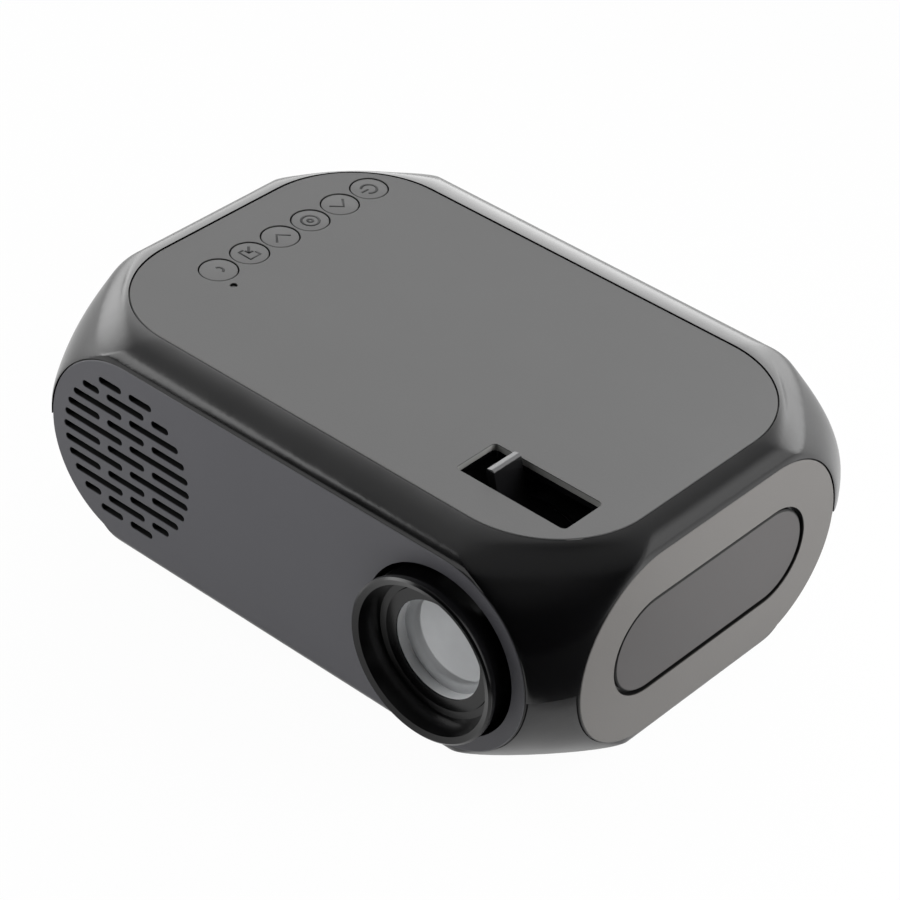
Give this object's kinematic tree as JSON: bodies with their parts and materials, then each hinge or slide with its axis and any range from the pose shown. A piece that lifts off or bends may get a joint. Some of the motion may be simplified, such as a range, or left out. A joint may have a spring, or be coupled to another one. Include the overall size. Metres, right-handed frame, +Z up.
{
  "type": "mini led projector",
  "caption": "Palm-sized pillow-shaped projector with a flared lens, focus lever in a top slot, round top buttons, speaker grille and rear sockets.",
  "frame": {"origin": "on the surface it stands on, under the middle of the bounding box", "axes": "+X along the front face from the speaker grille to the lens, -Y out of the lens, +Z up"},
  "size_m": [0.148, 0.1086, 0.0587],
  "materials": {
    "gloss_shell": "piano-black moulded ABS",
    "satin_shell": "satin black moulded ABS",
    "matte_panel": "fine spark-eroded grey-black ABS",
    "matte_inlay": "fine textured grey-black ABS",
    "button_matte": "fine textured ABS with recessed icons",
    "lever_moulding": "moulded nylon",
    "gloss_barrel": "gloss black moulded polycarbonate",
    "black_moulding": "plain black moulding",
    "foot_rubber": "moulded rubber",
    "steel_screws": "zinc-plated steel",
    "socket_metal": "pressed nickel-plated steel",
    "magnet_steel": "coated ferrite and steel",
    "brass_insert": "turned brass",
    "circuit_board": "green solder mask",
    "clear_acrylic": "moulded acrylic",
    "lens_glass": "polished optical glass",
    "display_glass": "liquid-crystal cell",
    "pale_sleeve": "pale satin moulding",
    "paper_cone": "coated paper and rubber surround",
    "sink_aluminium": "extruded aluminium",
    "phosphor": "phosphor-filled silicone",
    "front_mirror": "front-coated glass mirror"
  },
  "bodies": {
    "housing": {"upper_shell": "gloss_shell", "lower_shell": "satin_shell", "top_panel": "matte_panel", "front_panel": "matte_panel", "rear_panel": "matte_panel", "right_end_panel": "matte_panel", "left_end_panel": "matte_panel", "right_end_inlay": "matte_inlay", "fan_outlet_grille": "matte_inlay", "rubber_feet": "foot_rubber", "case_screws": "steel_screws", "board_screws": "steel_screws", "holder_screws": "steel_screws", "tripod_insert": "brass_insert", "key_board": "circuit_board", "tact_switches": "black_moulding", "status_light_pipe": "clear_acrylic", "main_board": "circuit_board", "dc_socket": "black_moulding", "av_socket": "black_moulding", "usb_socket": "socket_metal", "hdmi_socket": "socket_metal", "card_socket": "socket_metal", "speaker_basket": "socket_metal", "speaker_cone": "paper_cone", "speaker_magnet": "magnet_steel", "heat_sink": "sink_aluminium", "fan_frame": "black_moulding", "led_board": "sink_aluminium", "led_emitter": "phosphor", "optical_box": "black_moulding", "optical_box_cover": "black_moulding", "condenser_lens": "clear_acrylic", "heat_glass": "lens_glass", "collector_fresnel": "clear_acrylic", "display_panel": "display_glass", "field_fresnel": "clear_acrylic", "fold_mirror": "front_mirror", "lens_holder": "black_moulding"},
    "lens_barrel": {"lens_barrel": "gloss_barrel", "lens_sleeve": "pale_sleeve", "front_lens": "lens_glass", "lens_spacer": "black_moulding", "middle_lens": "lens_glass", "rear_lens": "lens_glass", "rear_retainer": "black_moulding", "ring_clip": "steel_screws"},
    "focus_ring": {"focus_ring": "lever_moulding"},
    "fan_rotor": {"fan_rotor": "black_moulding"},
    "return_button": {"return_button": "button_matte"},
    "source_button": {"source_button": "button_matte"},
    "previous_button": {"previous_button": "button_matte"},
    "select_button": {"select_button": "button_matte"},
    "next_button": {"next_button": "button_matte"},
    "power_button": {"power_button": "button_matte"}
  },
  "joints": [
    {"name": "lens_slide", "type": "slide", "parent": "housing", "child": "lens_barrel", "axis": [0, -1, 0], "range_m": [-0.0004, 0.0016]},
    {"name": "focus_turn", "type": "hinge", "parent": "lens_barrel", "child": "focus_ring", "pos_m": [0.04493, -0.0227, 0.02965], "axis": [0, 1, 0], "range_deg": [-10.5, 40.5]},
    {"name": "fan_spin", "type": "hinge", "parent": "housing", "child": "fan_rotor", "pos_m": [-0.0446, 0.01475, 0.02965], "axis": [1, 0, 0], "continuous": true},
    {"name": "return_press", "type": "slide", "parent": "housing", "child": "return_button", "axis": [0, 0, -1], "range_m": [0, 0.0008], "stiffness_N_per_m": 600, "springref_m": -0.0003},
    {"name": "source_press", "type": "slide", "parent": "housing", "child": "source_button", "axis": [0, 0, -1], "range_m": [0, 0.0008], "stiffness_N_per_m": 600, "springref_m": -0.0003},
    {"name": "previous_press", "type": "slide", "parent": "housing", "child": "previous_button", "axis": [0, 0, -1], "range_m": [0, 0.0008], "stiffness_N_per_m": 600, "springref_m": -0.0003},
    {"name": "select_press", "type": "slide", "parent": "housing", "child": "select_button", "axis": [0, 0, -1], "range_m": [0, 0.0008], "stiffness_N_per_m": 600, "springref_m": -0.0003},
    {"name": "next_press", "type": "slide", "parent": "housing", "child": "next_button", "axis": [0, 0, -1], "range_m": [0, 0.0008], "stiffness_N_per_m": 600, "springref_m": -0.0003},
    {"name": "power_press", "type": "slide", "parent": "housing", "child": "power_button", "axis": [0, 0, -1], "range_m": [0, 0.0008], "stiffness_N_per_m": 600, "springref_m": -0.0003}
  ],
  "couplings": [
    {"joint": "focus_turn", "follows": "lens_slide", "rad_per_m": 436.33}
  ]
}
